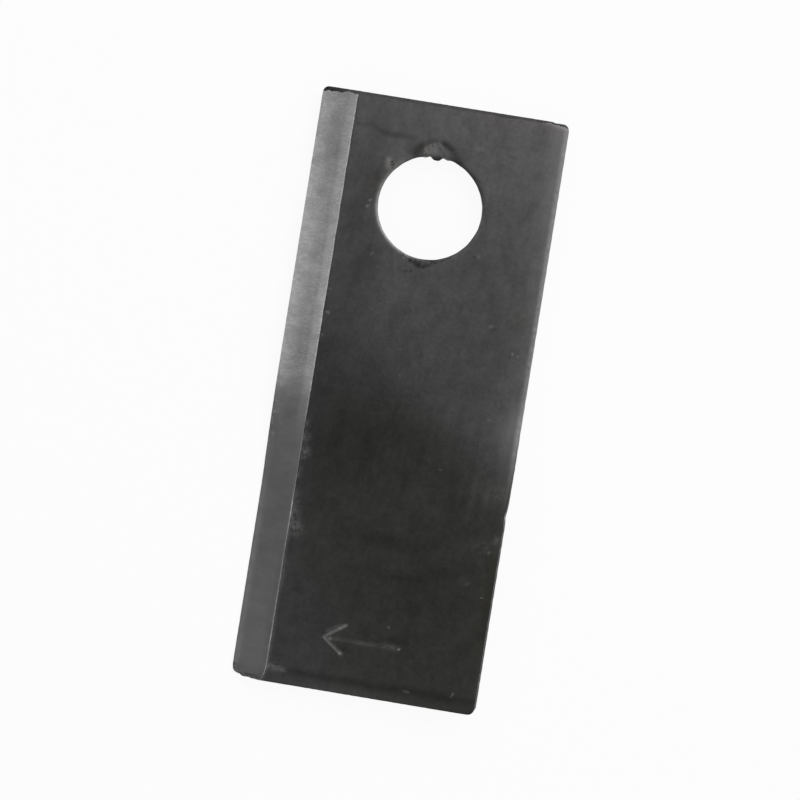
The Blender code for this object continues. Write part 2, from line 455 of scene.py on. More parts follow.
def worn_outline(x, y, upper):
    """Moves lattice points on to the real outline, and leans the sheared ends.

    Each long edge comes in by its corner's arc and a fine waver, fading out over its own width of metal; the
    bevel's outer end is drawn up; the face that burrs at each end stands back by the lean of the cut.
    """
    from_end = np.minimum(y - OUTER_END, HOLED_END - y)
    turned = twist_share(y)
    left = corner_inset(from_end) + 0.035 + 0.02 * bump_noise(y, 0.0, 3.1, 11) - 0.2 * turned
    left = left + 0.12 * smooth((OUTER_END + 2.2 - y) / 1.2) * (1.0 + bump_noise(y, 0.0, 0.9, 16))
    right = corner_inset(from_end) + 0.035 + 0.03 * bump_noise(y, 0.0, 2.3, 12) + 0.12 * turned**4
    right = right + 0.18 * bell(y + 19.8, 1.0)
    moved = x + left * smooth((CREASE - x) / BEVEL_WIDTH)
    moved = moved + (crease_line(y) - CREASE) * (1.0 - smooth(np.abs(x - CREASE) / 4.0))
    moved = moved - right * smooth((x - RIGHT + 6.0) / 6.0)
    near_outer = smooth((OUTER_END + LEAN_REACH - y) / LEAN_REACH) ** 2
    near_holed = smooth((y - HOLED_END + LEAN_REACH) / LEAN_REACH) ** 2
    outer = 0.11 + 0.02 * bump_noise(x, 0.0, 1.9, 13)
    outer = outer + 0.45 * smooth((-23.5 - x) / 0.7)
    holed = 0.11 + 0.02 * bump_noise(x, 0.0, 1.3, 14) + 0.18 * smooth((x - 21.8) / 1.6)
    if upper:
        ragged = 0.1 * bump_noise(x, 0.0, 0.8, 17) * smooth((CREASE - x) / 2.0)
        outer = outer + ragged + 0.16 * np.clip((CREASE - x) / 4.5, 0.0, 1.0)
        torn = 0.8 + 0.16 * bump_noise(x, 0.0, 4.3, 15) + 0.1 * bump_noise(x, 0.0, 1.1, 18)
        holed = holed + torn * (1.0 - 0.45 * smooth((x - 18.0) / 6.0))
    else:
        outer = outer + SHEAR_LEAN
    return moved, y + near_outer * outer - near_holed * holed


def hole_block(xs, ys):
    """Index ranges of the lattice square round the hole that the ring lattice replaces."""
    slack = 0.01
    first_x, last_x = np.searchsorted(xs, (slack - HOLE_SQUARE, HOLE_SQUARE - slack))
    first_y, last_y = np.searchsorted(ys, (HOLE_Y - HOLE_SQUARE - slack, HOLE_Y + HOLE_SQUARE - slack))
    return first_x, last_x, first_y, last_y


def from_angle(turned, middle):
    """Signed difference of two angles in degrees, between -180 and 180."""
    return (turned - middle + 180.0) % 360.0 - 180.0


def from_rim(x, y):
    """How far each point lies out from the hole's rim, and its angle round the hole in degrees."""
    across, along = x - HOLE_X, y - HOLE_Y
    return np.hypot(across, along) - HOLE_RADIUS, np.degrees(np.arctan2(along, across)) % 360.0


def rim_line(angle):
    """Radius of the punched hole's rim: a little oval, finely wavering, with a torn burr that hangs in.

    The burr is a flat-topped bell curve of the angle from BURR_ANGLE. Beside it the rim is first drawn in a
    little, and then torn out.
    """
    from_burr = np.abs(from_angle(np.degrees(angle), BURR_ANGLE))
    waver = 0.03 * bump_noise(angle * HOLE_RADIUS, 0.0, 2.6, 21)
    burr = -0.76 * bell(from_burr, 5.7, 4)
    drawn_in = -0.2 * bell(from_burr - 12.0, 3.0)
    torn_out = 0.03 * bell(from_burr - 21.0, 6.0)
    return HOLE_RADIUS + 0.055 * np.cos(2.0 * angle + 0.6) + waver + burr + drawn_in + torn_out


def ring_shares():
    """Shares of the way from the rim out to the lattice square, close at the rim."""
    rim = np.array([0.0, 0.004, 0.011, 0.021, 0.034, 0.05, 0.07, 0.095])
    return np.concatenate([rim, np.linspace(0.095, 1.0, 20)[1:]])


def sheet(upper):
    """Plan of one face of the blank: points, four-cornered faces, the outline loop and the rim loop.

    The lattice is the product of the columns and rows. Inside the hole's square, rings run from the square to
    the rim: each point lies on the straight ray from the hole's middle, at its ring's share of the way.
    """
    xs, ys = columns(), rows()
    across, along = len(xs), len(ys)
    flat_x, flat_y = np.meshgrid(xs, ys)
    x, y = worn_outline(flat_x, flat_y, upper)
    lattice = np.arange(across * along).reshape(along, across)
    corners = np.stack([lattice[:-1, :-1], lattice[:-1, 1:], lattice[1:, 1:], lattice[1:, :-1]], axis=-1)
    i0, i1, j0, j1 = hole_block(xs, ys)
    keep = np.ones((along - 1, across - 1), bool)
    keep[j0:j1, i0:i1] = False
    faces = corners[keep]

    square = np.concatenate(
        [lattice[j0, i0:i1], lattice[j0:j1, i1], lattice[j1, i1:i0:-1], lattice[j1:j0:-1, i0]]
    )
    square_x, square_y = x.ravel()[square] - HOLE_X, y.ravel()[square] - HOLE_Y
    angle = np.arctan2(square_y, square_x)
    shares = ring_shares()[:-1, None]
    radius = rim_line(angle) + shares * (np.hypot(square_x, square_y) - rim_line(angle))
    ring_x, ring_y = radius * np.cos(angle) + HOLE_X, radius * np.sin(angle) + HOLE_Y
    around = len(square)
    rings = across * along + np.arange(shares.size * around).reshape(shares.size, around)
    rings = np.concatenate([rings, square[None]])
    turned = np.roll(rings, -1, axis=1)
    ring_faces = np.stack([rings[:-1], rings[1:], turned[1:], turned[:-1]], axis=-1).reshape(-1, 4)

    outline = np.concatenate([lattice[0, :-1], lattice[:-1, -1], lattice[-1, :0:-1], lattice[:0:-1, 0]])
    points = np.stack([np.append(x.ravel(), ring_x.ravel()), np.append(y.ravel(), ring_y.ravel())], axis=1)
    everything = np.concatenate([faces, ring_faces])
    used, compact = np.unique(everything, return_inverse=True)
    place = np.zeros(len(points), int)
    place[used] = np.arange(len(used))
    return points[used], compact.reshape(-1, 4), place[outline], place[rings[0]]


# Relief of the faces


def groove(distance, half_width, depth):
    """Rounded trench with slight lips: minus the depth times (1 - (d/w)^2) inside, and a bell at its edge."""
    trench = depth * np.clip(1.0 - (distance / half_width) ** 2, 0.0, 1.0)
    lip = 0.12 * depth * bell(distance / half_width - 1.35, 0.3)
    return lip - trench


def arrow_distances(x, y):
    """How far each point lies from the arrow's barbs, from its shaft and from its tail dot."""
    barbs = from_path(x, y, (ARROW_BARBS[0], ARROW_TIP, ARROW_BARBS[1]))
    return barbs, from_path(x, y, (ARROW_NOTCH, ARROW_TAIL)), np.hypot(x - ARROW_TAIL[0], y - ARROW_TAIL[1])


def arrow(x, y):
    """The stamped arrow: two barbs, a shallower shaft that spreads near its tail, and a punched tail dot."""
    barbs, shaft, dot = arrow_distances(x, y)
    spread = SHAFT_HALF + 0.3 * bell(x - 6.6, 1.3)
    pressed = np.minimum(groove(barbs, BARB_HALF, BARB_DEPTH), groove(shaft, spread, SHAFT_DEPTH))
    return pressed + groove(dot, 0.4, 0.12)


def punch_marks(x, y):
    """Relief round the hole: drawn-down rim, torn flake at the top, dent at the foot and raised swelling.

    The rim is dished over RIM_WIDTH, and only half as deep on the lower left, which is less worn. The flake
    and the dent deepen smoothly from their outlines inwards, and the swelling is a bell curve along its path.
    """
    beyond, turned = from_rim(x, y)
    reach = np.clip(beyond / RIM_WIDTH, 0.0, 1.0)
    rim = RIM_DROP * (1.0 - reach) ** 2 * (1.0 - 0.5 * bell(from_angle(turned, 240.0), 38.0, 4))
    drawn = 0.05 * np.exp(-beyond / 0.9)
    tear = inside_outline(x, y, TEAR)
    flake = smooth(tear / 1.4) * (0.05 + 0.03 * np.clip(51.6 - y, 0.0, 3.0))
    flake = flake + smooth(tear / 0.6) * 0.02 * bump_noise(x, y, 1.7, 31)
    dent = -0.03 * smooth(inside_outline(x, y, DENT) / 0.9) * (1.0 + 0.6 * bump_noise(x, y, 1.3, 32))
    swelling = 0.07 * bell(from_path(x, y, SWELLING), 0.7)
    return dent + swelling - rim - drawn - flake


def upper_height(x, y, edge_x):
    """Height of the upper face, less the rolled end, the back shoulder and every mark, and of the bevel.

    The shoulder is a quarter ellipse down to the back edge. The bevel is a plane up from the land. The lower
    of the two wins, with a worn round of a few hundredths where they meet, which is finest in the wing.
    """
    shoulder = np.clip(1.0 - (edge_x - x) / SHOULDER_WIDTH, 0.0, 1.0)
    face = TOP - end_roll(y - OUTER_END) - SHOULDER_DROP * (1.0 - np.sqrt(1.0 - shoulder**2))
    face = face + arrow(x, y) + punch_marks(x, y) + 0.004 * bump_noise(x, y, 7.0, 41)
    bevel = EDGE_LAND - TOP + BEVEL_SLOPE * (x - LEFT)
    bevel = bevel + 0.01 * bump_noise(x * 0.3, y, 5.0, 42)
    worn = 0.012 + 0.018 * np.maximum(smooth((y + 8.0) / 3.0), 0.7 * bell(y + 26.0, 5.0, 4))
    low, high = np.minimum(face, bevel), np.maximum(face, bevel)
    return low - worn * np.log1p(np.exp(-(high - low) / worn))


def under_height(x, y, edge_x):
    """Height of the underside: flat, with the rolled holed end, the worn cutting edge and the back foot."""
    metal = np.minimum(THICKNESS, EDGE_LAND + BEVEL_SLOPE * (x - LEFT)) / THICKNESS
    foot = np.clip(1.0 - (edge_x - x) / FOOT_RADIUS, 0.0, 1.0)
    rise = FOOT_RADIUS * (1.0 - np.sqrt(1.0 - foot**2))
    worn = 0.08 * smooth((LEFT + 1.2 - x) / 1.2)
    return end_roll(HOLED_END - y) * metal + rise + worn - TOP


def back_edge(points, outline):
    """The back edge's x beside each point: read off the outline's right-hand stretch."""
    side = points[outline]
    side = side[side[:, 0] > RIGHT - 2.5]
    side = side[np.argsort(side[:, 1])]
    return np.interp(points[:, 1], side[:, 1], side[:, 0])


def band(upper_loop, lower_loop, start, shares):
    """Faces of a wall between two loops of the same count, through rows of new points at given shares."""
    inner = start + np.arange(len(shares) * len(upper_loop)).reshape(len(shares), -1)
    levels = np.concatenate([upper_loop[None], inner, lower_loop[None]])
    turned = np.roll(levels, -1, axis=1)
    return np.stack([levels[:-1], levels[1:], turned[1:], turned[:-1]], axis=-1).reshape(-1, 4)


def blank_skin():
    """The whole skin on the blank: both faces, the wall round the outline and the bore.

    The walls run straight from the upper loop to the lower one, at even shares, with a fine roughness of the
    sheared metal laid lengthwise on the rows between.
    """
    top, top_faces, outline, rim = sheet(True)
    under, under_faces, under_outline, under_rim = sheet(False)
    away = under - (HOLE_X, HOLE_Y)
    distance = np.hypot(away[:, 0], away[:, 1])
    widened = distance + BREAKOUT * smooth(1.0 - (distance - HOLE_RADIUS) / 1.5)
    under = away * (widened / distance)[:, None] + (HOLE_X, HOLE_Y)
    top_z = upper_height(top[:, 0], top[:, 1], back_edge(top, outline))
    under_z = under_height(under[:, 0], under[:, 1], back_edge(under, under_outline))
    points = np.concatenate([np.column_stack([top, top_z]), np.column_stack([under, under_z])])
    shift = len(top)
    shares = np.linspace(0.0, 1.0, 9)[1:-1]
    walls, wall_faces, start = [], [], len(points)
    loops = ((outline, under_outline + shift, True), (rim, under_rim + shift, False))
    for upper_loop, lower_loop, outward in loops:
        high, low = points[upper_loop], points[lower_loop]
        between = high + shares[:, None, None] * (low - high)
        rough = 0.05 * bump_noise(between[..., 0], between[..., 2] * 0.6, 0.8, 51)
        rough = rough * np.sin(math.pi * shares)[:, None]
        between[..., 1] += rough * smooth((np.abs(between[..., 1]) - HOLED_END + 1.5) / 0.3)
        faces = band(upper_loop, lower_loop, start, shares)
        wall_faces.append(faces if outward else faces[:, ::-1])
        walls.append(between.reshape(-1, 3))
        start += len(walls[-1])
    points = np.concatenate([points, *walls])
    faces = np.concatenate([top_faces, under_faces[:, ::-1] + shift, *wall_faces])
    return points, faces, len(top), (len(top_faces), len(top_faces) + len(under_faces))


# How the blank lies once it is twisted


def twist_share(y):
    """Share of the twist at y: it grows evenly along its run, and its start and end are eased."""

    def ramp(t):
        return np.where(np.abs(t) < TWIST_EASE, (t + TWIST_EASE) ** 2 / (4 * TWIST_EASE), np.maximum(t, 0.0))

    past_start = TWIST_START - y
    return (ramp(past_start) - ramp(past_start - TWIST_RUN)) / TWIST_RUN


def lie_as_twisted(points):
    """Turns each section about the long axis by the twist at its y, less half of it, as the blade lies."""
    x, y, z = points.T
    turn = TWIST * (twist_share(y) - 0.5)
    return np.stack([x * np.cos(turn) - z * np.sin(turn), y, x * np.sin(turn) + z * np.cos(turn)], axis=1)


# Wear, marks, and painted light and shade, as numbers kept on the skin


def keep_number(mesh, name, values):
    """Keeps one number for each vertex, under a name that the finishes read."""
    kept = mesh.attributes.new(name, "FLOAT", "POINT")
    kept.data.foreach_set("value", np.ascontiguousarray(values, np.float32))


def rubbed_share(x, y):
    """How far bare metal shows through in ragged patches."""
    return np.clip(sum(blob(x, y, patch) for patch in RUBBED), 0.0, 1.0)


def polished_and_highlight_share(x, y):
    """How far the skin is bright: the arrow worn bright and smooth, and painted highlights on the hole's rim
    and the flat half's back edge.

    The rim's painted highlight is brightest and widest on its left and its lower right. Elsewhere it is a
    thin line, and to the right of the tear there is none.
    """
    barbs, shaft, dot = arrow_distances(x, y)
    faint = 0.06 + 0.09 * bell(x - 0.4, 3.4) + 0.05 * bell(x - 6.8, 1.0)
    upper_barb = smooth((y - ARROW_TIP[1]) / 0.4)
    share = (0.27 + 0.2 * upper_barb) * smooth(1.3 - barbs / BARB_HALF)
    share = share + faint * smooth(1.5 - shaft / SHAFT_HALF) + 0.7 * smooth(1.1 - dot / 0.36)
    share = share + 0.16 * bell(from_path(x, y, SECOND_STROKE), 0.42)
    share = share + sum(blob(x, y, patch) for patch in ARROW_GLINTS)
    # Painted highlight on the hole's rim, brightest on its lit sides.
    beyond, turned = from_rim(x, y)
    lit_side = 0.5 * bell(from_angle(turned, 172.0), 45.0, 4)
    lit_side = lit_side + 0.33 * bell(from_angle(turned, 335.0), 38.0, 4)
    share = share + lit_side * bell(beyond, 0.55)
    plain = 1.0 - bell(from_angle(turned, 72.0), 38.0, 4)
    share = share + 0.22 * plain * bell(beyond, 0.25)
    # Painted highlight along the flat half's back edge, fading out through the twist.
    edge = 0.45 * smooth((x - RIGHT + 1.3) / 1.0) * (0.75 + 0.25 * bump_noise(x, y, 1.6, 63))
    edge = edge + 0.6 * smooth((x - RIGHT + 0.32) / 0.2)
    return np.clip(share + (1.0 - twist_share(y)) ** 1.6 * edge, 0.0, 1.0)


def burr_share(x, y):
    """How far a point belongs to the dark burr that hangs into the hole."""
    beyond, turned = from_rim(x, y)
    return smooth((0.08 - beyond) / 0.16) * bell(from_angle(turned, BURR_ANGLE), 7.5, 4)


def torn_share(x, y):
    """How far freshly torn metal shows: the flake over the hole, the swelling and the rim between them."""
    share = 0.26 * smooth(inside_outline(x, y, TEAR) / 0.4 + 0.3) * (0.8 + 0.25 * bump_noise(x, y, 0.8, 65))
    share = share + 0.28 * bell(from_path(x, y, SWELLING), 0.65)
    beyond, turned = from_rim(x, y)
    speckled = bell(from_angle(turned, 135.0), 10.0) * (0.5 + 0.5 * bump_noise(x, y, 0.6, 66))
    share = share + 0.2 * speckled * bell(beyond - 0.5, 0.8)
    return np.clip(share, 0.0, 1.0) * (1.0 - burr_share(x, y))


def grime_and_shade_share(x, y):
    """How dark the upper face is, by grime and by painted shade.

    The painted shade lies round the tear and on the rim beside it, in the dent and along the hollow of the
    rolled end. The stain and the burr are dark marks.
    """
    # Painted shade round the torn flake.
    shade = 0.66 * bell(from_path(x, y, TEAR_SHADE_LEFT), 1.05)
    shade = np.maximum(shade, 0.38 * bell(from_path(x, y, TEAR_SHADE_TOP), 0.6))
    shade = shade + 0.75 * bell(from_path(x, y, TEAR_SHADE_RIGHT), 0.7)
    shade = np.maximum(shade, 0.52 * bell(from_path(x, y, TEAR_SHADE_FOOT), 0.8))
    shade = shade * (1.0 - smooth(inside_outline(x, y, TEAR) / 0.3))
    # Painted shade in the dent, lighter in two spots.
    depth = 0.62 + sum(blob(x, y, patch) for patch in DENT_DARK)
    depth = depth - sum(blob(x, y, patch) for patch in DENT_LIGHT)
    shade = shade + depth * smooth(inside_outline(x, y, DENT) / 0.5)
    fading = 0.3 * bell(x + 10.0, 5.0) + 0.1
    shade = shade + fading * bell(from_path(x, y, STAIN), 0.62)
    # Painted shade along the hollow of the rolled end.
    rolled = y - OUTER_END - 2.8 - 0.25 * bump_noise(x, 0.0, 14.0, 62)
    shade = shade + 0.42 * bell(rolled, 0.85) * smooth((x + 15.0) / 3.0)
    # Painted shade on the rim to the upper right of the hole.
    beyond, turned = from_rim(x, y)
    shade = shade + 0.3 * np.exp(-((from_angle(turned, 42.0) / 30.0) ** 2) - ((beyond - 0.2) / 0.7) ** 2)
    return np.clip(shade + 0.8 * burr_share(x, y), 0.0, 1.0)


def crease_wear_and_highlight(y):
    """How bright the crease's wear and painted highlight are along its length: a little everywhere, but for a
    few stretches.
    """
    return 0.24 + sum(share * bell(y - middle, half) for middle, half, share in CREASE_WEAR_AND_HIGHLIGHT)


def tone_and_shading_share(x, y):
    """How much lighter or darker than plain each place is, by random tone and painted light and shade: 1 and
    the sum of its surface's soft patches.
    """
    face = 1.0 + sum(blob(x, y, patch) for patch in FACE_TONE_AND_SHADING)
    bevel = 1.0 + sum(blob(x, y, patch) for patch in BEVEL_TONE_AND_SHADING)
    return np.where(x < crease_line(y), bevel, face)


# The blade


def make_blade(low, high, finishes):
    """The skin as one mesh, laid so that its box's middle and foot are the solid's."""
    blank, faces, top_points, (top_faces, flat_faces) = blank_skin()
    lying = lie_as_twisted(blank)
    mine_low, mine_high = lying.min(axis=0), lying.max(axis=0)
    middle = (low + high) / 2 / MM
    lying = lying - (mine_low + mine_high) / 2 + (middle[0], middle[1], 0.0)
    lying[:, 2] += low[2] / MM - lying[:, 2].min()

    mesh = bpy.data.meshes.new("blade_skin")
    mesh.from_pydata((lying * MM).tolist(), [], faces.tolist())
    mesh.attributes.new("blank", "FLOAT_VECTOR", "POINT").data.foreach_set(
        "vector", np.ascontiguousarray(blank, np.float32).ravel()
    )
    x, y, _ = blank.T
    on_top = np.arange(len(blank)) < top_points
    far = 9.0
    keep_number(mesh, "crease", np.where(on_top, np.clip(x - crease_line(y), -far, far), far))
    shares = {"rubbed": rubbed_share, "polished_and_highlight": polished_and_highlight_share, "torn": torn_share, "grime_and_shade": grime_and_shade_share}
    for name, share in shares.items():
        keep_number(mesh, name, np.where(on_top, share(x, y), 0.0))
    keep_number(mesh, "wear_and_highlight", crease_wear_and_highlight(y))
    keep_number(mesh, "tone_and_shading", np.where(on_top, tone_and_shading_share(x, y), 1.0))
    keep_number(mesh, "wall", np.where(on_top, 0.0, smooth(1.0 - (RIGHT - x) / 0.4)))

    centre = blank[faces].mean(axis=1)
    index = np.arange(len(faces))
    bore = np.hypot(centre[:, 0] - HOLE_X, centre[:, 1] - HOLE_Y) < HOLE_RADIUS + 1.5
    cut_end = HOLED_END - np.abs(centre[:, 1]) < 1.2
    kind = np.full(len(faces), HARDENED, np.int32)
    kind[(index < top_faces) & (centre[:, 0] < crease_line(centre[:, 1]))] = GROUND
    kind[(index >= flat_faces) & (centre[:, 0] < LEFT + 2.0)] = GROUND
    kind[(index >= flat_faces) & (bore | cut_end)] = SHEARED
    for finish in finishes:
        mesh.materials.append(finish)
    mesh.polygons.foreach_set("material_index", kind)
    mesh.polygons.foreach_set("use_smooth", np.ones(len(faces), bool))
    mesh.set_sharp_from_angle(angle=SHARP_ANGLE)
    mesh.update()
    blade = bpy.data.objects.new("blade_skin", mesh)
    bpy.context.collection.objects.link(blade)
    return blade


# Finishes


class Nodes:
    """Adds nodes to one tree. An input is given a plain value, or another node's output to link from."""

    def __init__(self, tree):
        self.tree = tree
        tree.nodes.clear()

    def add(self, kind, inputs=None, **settings):
        """One node, with its inputs by name or place and its settings by name."""
        node = self.tree.nodes.new(kind)
        for name, value in settings.items():
            setattr(node, name, value)
        for name, value in (inputs or {}).items():
            if isinstance(value, bpy.types.NodeSocket):
                self.tree.links.new(value, node.inputs[name])
            else:
                node.inputs[name].default_value = value
        return node

    def math(self, operation, first, second=0.0):
        """One sum on one or two numbers."""
        return self.add("ShaderNodeMath", {0: first, 1: second}, operation=operation).outputs[0]

    def plus(self, first, second):
        """One number added to another."""
        return self.math("ADD", first, second)

    def times(self, first, second):
        """One number times another."""
        return self.math("MULTIPLY", first, second)

    def most(self, first, second):
        """The greater of two numbers."""
        return self.math("MAXIMUM", first, second)

    def number(self, name):
        """A number that the skin keeps for each vertex."""
        return self.add("ShaderNodeAttribute", attribute_name=name).outputs["Fac"]

    def place(self, scale=(1.0, 1.0, 1.0), turn=0.0):
        """The place on the blank in millimetres, turned in plan by some degrees and then stretched."""
        place = self.add("ShaderNodeAttribute", attribute_name="blank").outputs["Vector"]
        if turn:
            turned = {"Vector": place, "Rotation": (0.0, 0.0, math.radians(turn))}
            place = self.add("ShaderNodeMapping", turned).outputs[0]
        return self.add("ShaderNodeMapping", {"Vector": place, "Scale": scale}).outputs[0]

    def noise(self, scale, detail=2.0, rough=0.5, stretch=(1.0, 1.0, 1.0), turn=0.0):
        """Soft noise about one half, read on the blank: a scale of 1 gives features of about a millimetre."""
        found = self.add(
            "ShaderNodeTexNoise",
            {"Vector": self.place(stretch, turn), "Scale": scale, "Detail": detail, "Roughness": rough},
        )
        return found.outputs["Fac"]

    def between(self, value, low, high, to_low=0.0, to_high=1.0):
        """Carries a value from one range to another, smoothly and held at both ends."""
        ranged = self.add(
            "ShaderNodeMapRange",
            {"Value": value, "From Min": low, "From Max": high, "To Min": to_low, "To Max": to_high},
            interpolation_type="SMOOTHSTEP",
        )
        return ranged.outputs[0]

    def mix(self, share, first, second):
        """The color that lies the given share of the way from the first to the second."""
        mixed = self.add("ShaderNodeMix", data_type="RGBA")
        self.feed(mixed.inputs[0], share)
        self.feed(mixed.inputs[6], first)
        self.feed(mixed.inputs[7], second)
        return mixed.outputs[2]

    def mix_number(self, share, first, second):
        """The number that lies the given share of the way from the first to the second."""
        mixed = self.add("ShaderNodeMix", data_type="FLOAT")
        self.feed(mixed.inputs[0], share)
        self.feed(mixed.inputs[2], first)
        self.feed(mixed.inputs[3], second)
        return mixed.outputs[0]

    def feed(self, socket, value):
        """Links an output to a socket, or sets a plain number or color there."""
        if isinstance(value, bpy.types.NodeSocket):
            self.tree.links.new(value, socket)
        else:
            socket.default_value = (*value, 1.0) if isinstance(value, tuple) else value


def finish_named(name):
    """A new material, with an empty node tree to fill."""
    material = bpy.data.materials.new(name)
    material.use_nodes = True
    return material, Nodes(material.node_tree)


def close_finish(nodes, color, roughness, height, depth_mm, metallic, specular=0.5):
    """Ends a finish: a bump of the given depth under the shader, and the output."""
    bump = nodes.add("ShaderNodeBump", {"Height": height, "Strength": 1.0, "Distance": depth_mm * MM})
    shader = nodes.add(
        "ShaderNodeBsdfPrincipled",
        {
            "Roughness": roughness,
            "Metallic": metallic,
            "Specular IOR Level": specular,
            "Normal": bump.outputs[0],
        },
    )
    nodes.feed(shader.inputs["Base Color"], color)
    out = nodes.add("ShaderNodeOutputMaterial")
    nodes.tree.links.new(shader.outputs[0], out.inputs["Surface"])


def marks(nodes, described):
    """Greatest strength of any mark here: each is an ellipse with a ragged soft edge, read on the blank."""
    here = nodes.place()
    ragged = nodes.between(nodes.noise(2.4, 3.0, 0.6), 0.25, 0.75, -0.35, 0.35)
    any_height = 50.0
    total = 0.0
    for x, y, half_length, half_width, angle, strength in described:
        inside = nodes.add(
            "ShaderNodeMapping",
            {
                "Vector": here,
                "Location": (x, y, TOP),
                "Rotation": (0.0, 0.0, math.radians(angle)),
                "Scale": (half_length, half_width, any_height),
            },
            vector_type="TEXTURE",
        )
        out = nodes.add("ShaderNodeVectorMath", {0: inside.outputs[0]}, operation="LENGTH").outputs["Value"]
        edge = nodes.between(nodes.plus(out, ragged), 1.15, 0.25, 0.0, strength)
        total = nodes.most(total, edge)
    return total


def scaled(nodes, color, share):
    """A color times a number."""
    return nodes.add("ShaderNodeVectorMath", {0: color, "Scale": share}, operation="SCALE").outputs["Vector"]


def tinted(nodes, color, tint):
    """A color times another, channel by channel."""
    return nodes.add("ShaderNodeVectorMath", {0: color, 1: tint}, operation="MULTIPLY").outputs["Vector"]


def plan(nodes):
    """How far across the blank and how far along it each place lies."""
    split = nodes.add("ShaderNodeSeparateXYZ", {0: nodes.place()})
    return split.outputs["X"], split.outputs["Y"]


def hardened_tint_and_shading(nodes, across, along):
    """Color of the dark faces, palest by the hole and darkest in the wing in a painted gradient of light and
    shade, and warmer where it is oiled.
    """
    color = nodes.mix(nodes.between(along, 0.0, 60.0), HARDENED_MIDDLE, HARDENED_BY_HOLE)
    color = nodes.mix(nodes.between(along, 8.0, -12.0), color, HARDENED_WING)
    held_back = nodes.between(across, 2.0, 24.0, 0.0, 13.0)
    reaching_left = nodes.between(along, -46.0, -34.0, -8.0, 2.0)
    oiled = nodes.times(
        nodes.between(nodes.plus(along, held_back), 4.0, -8.0),
        nodes.between(nodes.plus(across, reaching_left), -15.0, -9.0),
    )
    color = nodes.mix(oiled, color, tinted(nodes, color, (0.99, 0.99, 0.915)))
    color = nodes.mix(marks(nodes, BROWN_STAINS), color, tinted(nodes, color, (1.03, 1.0, 0.94)))
    by_end = nodes.times(nodes.between(along, 56.0, 58.5), nodes.between(across, 3.0, 10.0))
    return nodes.mix(by_end, color, tinted(nodes, color, (1.035, 0.98, 0.995)))


def hardened_shade(nodes, color, along, speckle, mottle):
    """The color mottled, speckled and faintly drawn along its length, with darker streaks in the twist."""
    cloud = nodes.noise(0.06, 2.0, 0.5)
    color = nodes.mix(nodes.between(cloud, 0.4, 0.65, 0.0, 0.5), color, scaled(nodes, color, 0.94))
    shade = nodes.between(mottle, 0.25, 0.75, 0.92, 1.08)
    shade = nodes.times(shade, nodes.between(speckle, 0.25, 0.75, 0.92, 1.08))
    # The tone patches, partly painted light and shade.
    color = scaled(nodes, color, nodes.times(shade, nodes.number("tone_and_shading")))
    drawn = nodes.noise(0.8, 3.0, 0.55, (1.0, 0.22, 1.0), 4.0)
    color = scaled(nodes, color, nodes.between(drawn, 0.3, 0.7, 0.95, 1.05))
    streak = nodes.noise(0.5, 3.0, 0.55, (1.0, 0.08, 1.0))
    twisted = nodes.times(nodes.between(along, 2.0, -8.0), nodes.between(along, -28.0, -16.0))
    streaked = nodes.times(nodes.between(streak, 0.42, 0.72, 0.0, 0.3), twisted)
    return nodes.mix(streaked, color, scaled(nodes, color, 0.6))


def bare_and_highlight_share(nodes, along, speckle):
    """How far bare metal and painted highlights show: rubbed patches, the worn crease with its painted
    highlight, a painted glow by the crease in the wing, small bright marks, and the polished and highlighted
    places.
    """
    wisps = nodes.between(nodes.noise(1.3, 4.0, 0.65, (1.0, 0.75, 1.0), 20.0), 0.4, 0.6, 0.3, 1.1)
    bare_and_highlight = nodes.times(nodes.number("rubbed"), wisps)
    # The crease's worn bare metal and its painted highlight, on the face's side.
    beads = nodes.between(nodes.noise(0.9, 3.0, 0.6), 0.4, 0.6, 0.15, 1.0)
    worn_and_highlit_crease = nodes.times(nodes.between(nodes.number("crease"), 0.2, 0.0), beads)
    worn_and_highlit_crease = nodes.times(worn_and_highlit_crease, nodes.times(nodes.number("wear_and_highlight"), 0.7))
    bare_and_highlight = nodes.most(bare_and_highlight, worn_and_highlit_crease)
    # A broad painted glow beside the crease in the wing.
    by_crease = nodes.between(nodes.number("crease"), 0.9, 0.0)
    painted_crease_glow = nodes.times(by_crease, nodes.between(along, -19.0, -24.0))
    bare_and_highlight = nodes.plus(bare_and_highlight, nodes.times(painted_crease_glow, 0.18))
    bare_and_highlight = nodes.most(bare_and_highlight, marks(nodes, BRIGHT_MARKS))
    polished_and_highlight = nodes.times(nodes.number("polished_and_highlight"), nodes.between(speckle, 0.3, 0.7, 0.8, 1.2))
    return nodes.most(bare_and_highlight, polished_and_highlight)


